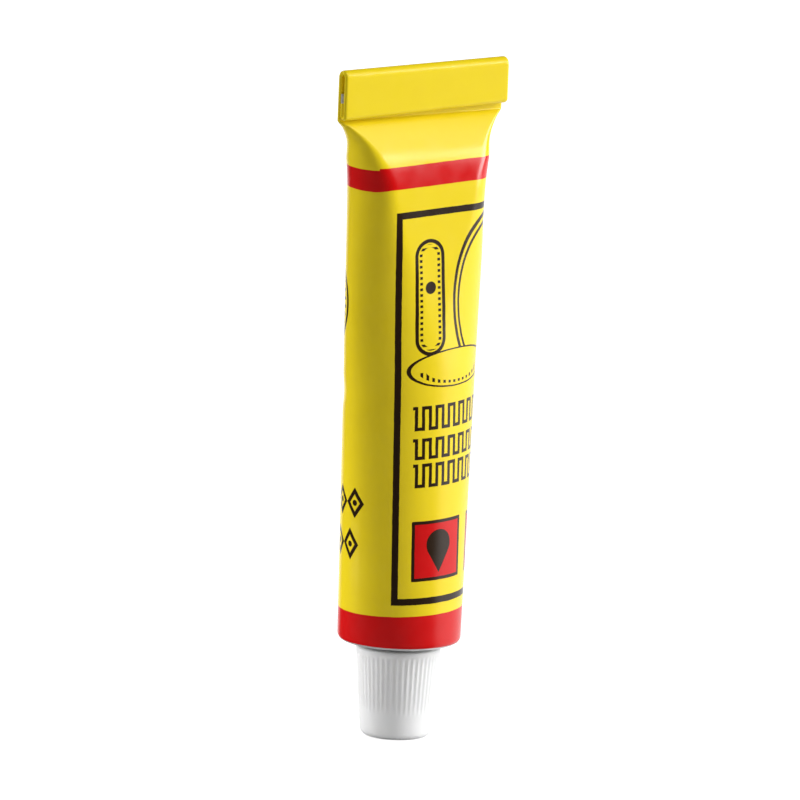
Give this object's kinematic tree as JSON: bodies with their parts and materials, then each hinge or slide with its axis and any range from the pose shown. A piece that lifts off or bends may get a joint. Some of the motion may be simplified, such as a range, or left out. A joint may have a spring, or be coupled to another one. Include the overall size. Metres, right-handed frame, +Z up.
{
  "type": "glue tube",
  "caption": "Small collapsible metal tube for rubber cement, tail flattened and folded over, with a ribbed screw cap that it stands on.",
  "frame": {"origin": "centre of the cap's foot ring, on the surface that the tube stands on", "axes": "+Z up the tube from the cap to the folded tail; +X along the width of the flattened tail; the tail's folds lie on the -Y side"},
  "size_m": [0.0212, 0.0136, 0.0748],
  "materials": {
    "enamelled_aluminium": "glossy printed enamel on soft aluminium, bare metal inside",
    "seal_latex": "dull dried latex film",
    "rubber_cement": "clear amber, wet",
    "cap_plastic": "moulded, satin, fine ribs",
    "liner_foam": "fine closed-cell foam"
  },
  "bodies": {
    "cap": {"cap_shell": "cap_plastic"},
    "liner": {"cap_liner": "liner_foam"},
    "tube": {"tube_body": "enamelled_aluminium", "tail_seal": "seal_latex", "glue_fill": "rubber_cement"}
  },
  "joints": [
    {"name": "unscrew_turn", "type": "hinge", "parent": "cap", "child": "liner", "pos_m": [0, 0, 0.00425], "axis": [0, 0, 1], "range_deg": [0, 1440]},
    {"name": "unscrew_lift", "type": "slide", "parent": "liner", "child": "tube", "axis": [0, 0, 1], "range_m": [0, 0.006]}
  ],
  "couplings": [
    {"joint": "unscrew_lift", "follows": "unscrew_turn", "m_per_rad": 0.00023873}
  ]
}
